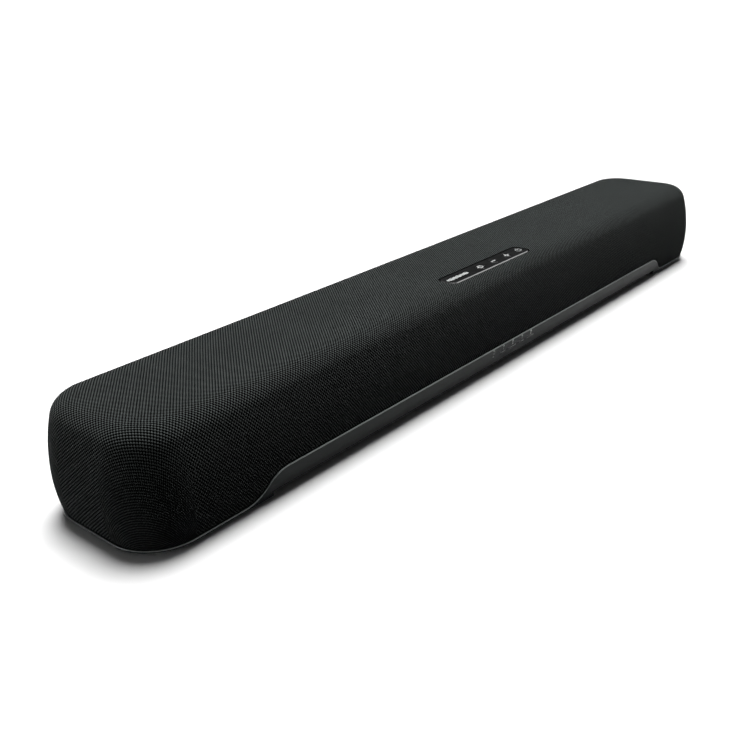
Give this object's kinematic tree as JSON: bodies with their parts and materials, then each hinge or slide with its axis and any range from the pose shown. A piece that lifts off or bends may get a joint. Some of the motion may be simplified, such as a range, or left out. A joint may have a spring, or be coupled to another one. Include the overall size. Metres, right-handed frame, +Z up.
{
  "type": "soundbar",
  "caption": "Compact cloth-covered soundbar with rounded ends, top control strip, front indicator strip and rear socket bay.",
  "frame": {"origin": "under the middle of the bar, on the surface its feet stand on", "axes": "+X along the bar to the listener's right, -Y towards the listener, +Z up"},
  "size_m": [0.6, 0.094, 0.064],
  "materials": {
    "cloth": "charcoal speaker knit, matt",
    "shell": "moulded black ABS, matt",
    "base_plastic": "moulded dark grey ABS with a fine satin grain",
    "rear_plastic": "moulded black ABS with a fine spark texture",
    "panel_plastic": "near-black satin plate",
    "key_plastic": "near-black satin caps with pale printed symbols",
    "rubber": "soft black rubber",
    "foam": "closed-cell foam",
    "screw_steel": "black zinc",
    "steel": "zinc-plated sheet",
    "ferrite": "dull sintered ferrite",
    "frame_steel": "pressed steel, black paint",
    "cone_paper": "pressed pulp, dark",
    "weight_plate": "moulded diaphragm",
    "spider_cloth": "impregnated cotton",
    "board": "green solder mask",
    "chip": "epoxy package",
    "aluminium": "extruded, plain",
    "winding": "yellow tape and ferrite",
    "can": "sleeved can",
    "socket_plastic": "black socket body",
    "lens": "smoked clear light guide",
    "led": "white package",
    "cable": "flat flexible cable"
  },
  "bodies": {
    "housing": {"amplifier_heat_sink": "aluminium", "aux_jack": "socket_plastic", "base_screws": "screw_steel", "board_screws": "screw_steel", "cabinet_seal": "foam", "control_board": "board", "control_panel": "panel_plastic", "fabric_cover": "cloth", "hdmi_socket": "steel", "indicator_board": "board", "indicator_lenses": "lens", "indicator_lights": "led", "key_switches": "chip", "left_driver_frame": "frame_steel", "left_driver_magnet": "ferrite", "left_driver_surround": "rubber", "left_driver_yoke": "steel", "left_radiator_frame": "frame_steel", "left_radiator_surround": "rubber", "left_rear_panel": "rear_plastic", "lower_cabinet": "base_plastic", "main_board": "board", "main_board_chips": "chip", "optical_socket_left": "socket_plastic", "optical_socket_right": "socket_plastic", "power_board": "board", "power_capacitors": "can", "power_inlet": "socket_plastic", "power_transformer": "winding", "rear_screws": "screw_steel", "ribbon_cable": "cable", "right_driver_frame": "frame_steel", "right_driver_magnet": "ferrite", "right_driver_surround": "rubber", "right_driver_yoke": "steel", "right_radiator_frame": "frame_steel", "right_radiator_surround": "rubber", "right_rear_panel": "rear_plastic", "rubber_feet": "rubber", "socket_panel": "rear_plastic", "unit_gaskets": "foam", "unit_screws": "screw_steel", "upper_cabinet": "shell", "wall_hook_plates": "steel", "woofer_frame": "frame_steel", "woofer_magnet": "ferrite", "woofer_spider": "spider_cloth", "woofer_surround": "rubber", "woofer_yoke": "steel"},
    "left_cone": {"left_driver_cone": "cone_paper"},
    "right_cone": {"right_driver_cone": "cone_paper"},
    "woofer_cone_body": {"woofer_cone": "cone_paper"},
    "left_radiator_body": {"left_radiator_plate": "weight_plate"},
    "right_radiator_body": {"right_radiator_plate": "weight_plate"},
    "input_key_body": {"input_key": "key_plastic"},
    "volume_down_body": {"volume_down_key": "key_plastic"},
    "volume_up_body": {"volume_up_key": "key_plastic"},
    "power_key_body": {"power_key": "key_plastic"},
    "left_shutter": {"optical_shutter_left": "socket_plastic"},
    "right_shutter": {"optical_shutter_right": "socket_plastic"}
  },
  "joints": [
    {"name": "left_cone_travel", "type": "slide", "parent": "housing", "child": "left_cone", "axis": [0, -1, 0], "range_m": [-0.002, 0.002], "stiffness_N_per_m": 300, "deforming": ["left_driver_surround"]},
    {"name": "right_cone_travel", "type": "slide", "parent": "housing", "child": "right_cone", "axis": [0, -1, 0], "range_m": [-0.002, 0.002], "stiffness_N_per_m": 300, "deforming": ["right_driver_surround"]},
    {"name": "woofer_travel", "type": "slide", "parent": "housing", "child": "woofer_cone_body", "axis": [0, 0, 1], "range_m": [-0.003, 0.003], "stiffness_N_per_m": 800, "deforming": ["woofer_surround", "woofer_spider"]},
    {"name": "left_radiator_travel", "type": "slide", "parent": "housing", "child": "left_radiator_body", "axis": [0, 0, 1], "range_m": [-0.0035, 0.0035], "stiffness_N_per_m": 800, "deforming": ["left_radiator_surround"]},
    {"name": "right_radiator_travel", "type": "slide", "parent": "housing", "child": "right_radiator_body", "axis": [0, 0, 1], "range_m": [-0.0035, 0.0035], "stiffness_N_per_m": 800, "deforming": ["right_radiator_surround"]},
    {"name": "input_press", "type": "slide", "parent": "housing", "child": "input_key_body", "axis": [0, 0, 1], "range_m": [-0.0005, 0], "stiffness_N_per_m": 40, "springref_m": 0.0002},
    {"name": "volume_down_press", "type": "slide", "parent": "housing", "child": "volume_down_body", "axis": [0, 0, 1], "range_m": [-0.0005, 0], "stiffness_N_per_m": 40, "springref_m": 0.0002},
    {"name": "volume_up_press", "type": "slide", "parent": "housing", "child": "volume_up_body", "axis": [0, 0, 1], "range_m": [-0.0005, 0], "stiffness_N_per_m": 40, "springref_m": 0.0002},
    {"name": "power_press", "type": "slide", "parent": "housing", "child": "power_key_body", "axis": [0, 0, 1], "range_m": [-0.0005, 0], "stiffness_N_per_m": 40, "springref_m": 0.0002},
    {"name": "left_shutter_swing", "type": "hinge", "parent": "housing", "child": "left_shutter", "pos_m": [0.004, 0.0271, 0.0244], "axis": [1, 0, 0], "range_deg": [-80, 0], "stiffness_Nm_per_rad": 0.0002, "springref_deg": 4.98},
    {"name": "right_shutter_swing", "type": "hinge", "parent": "housing", "child": "right_shutter", "pos_m": [0.026, 0.0271, 0.0244], "axis": [1, 0, 0], "range_deg": [-80, 0], "stiffness_Nm_per_rad": 0.0002, "springref_deg": 4.98}
  ]
}
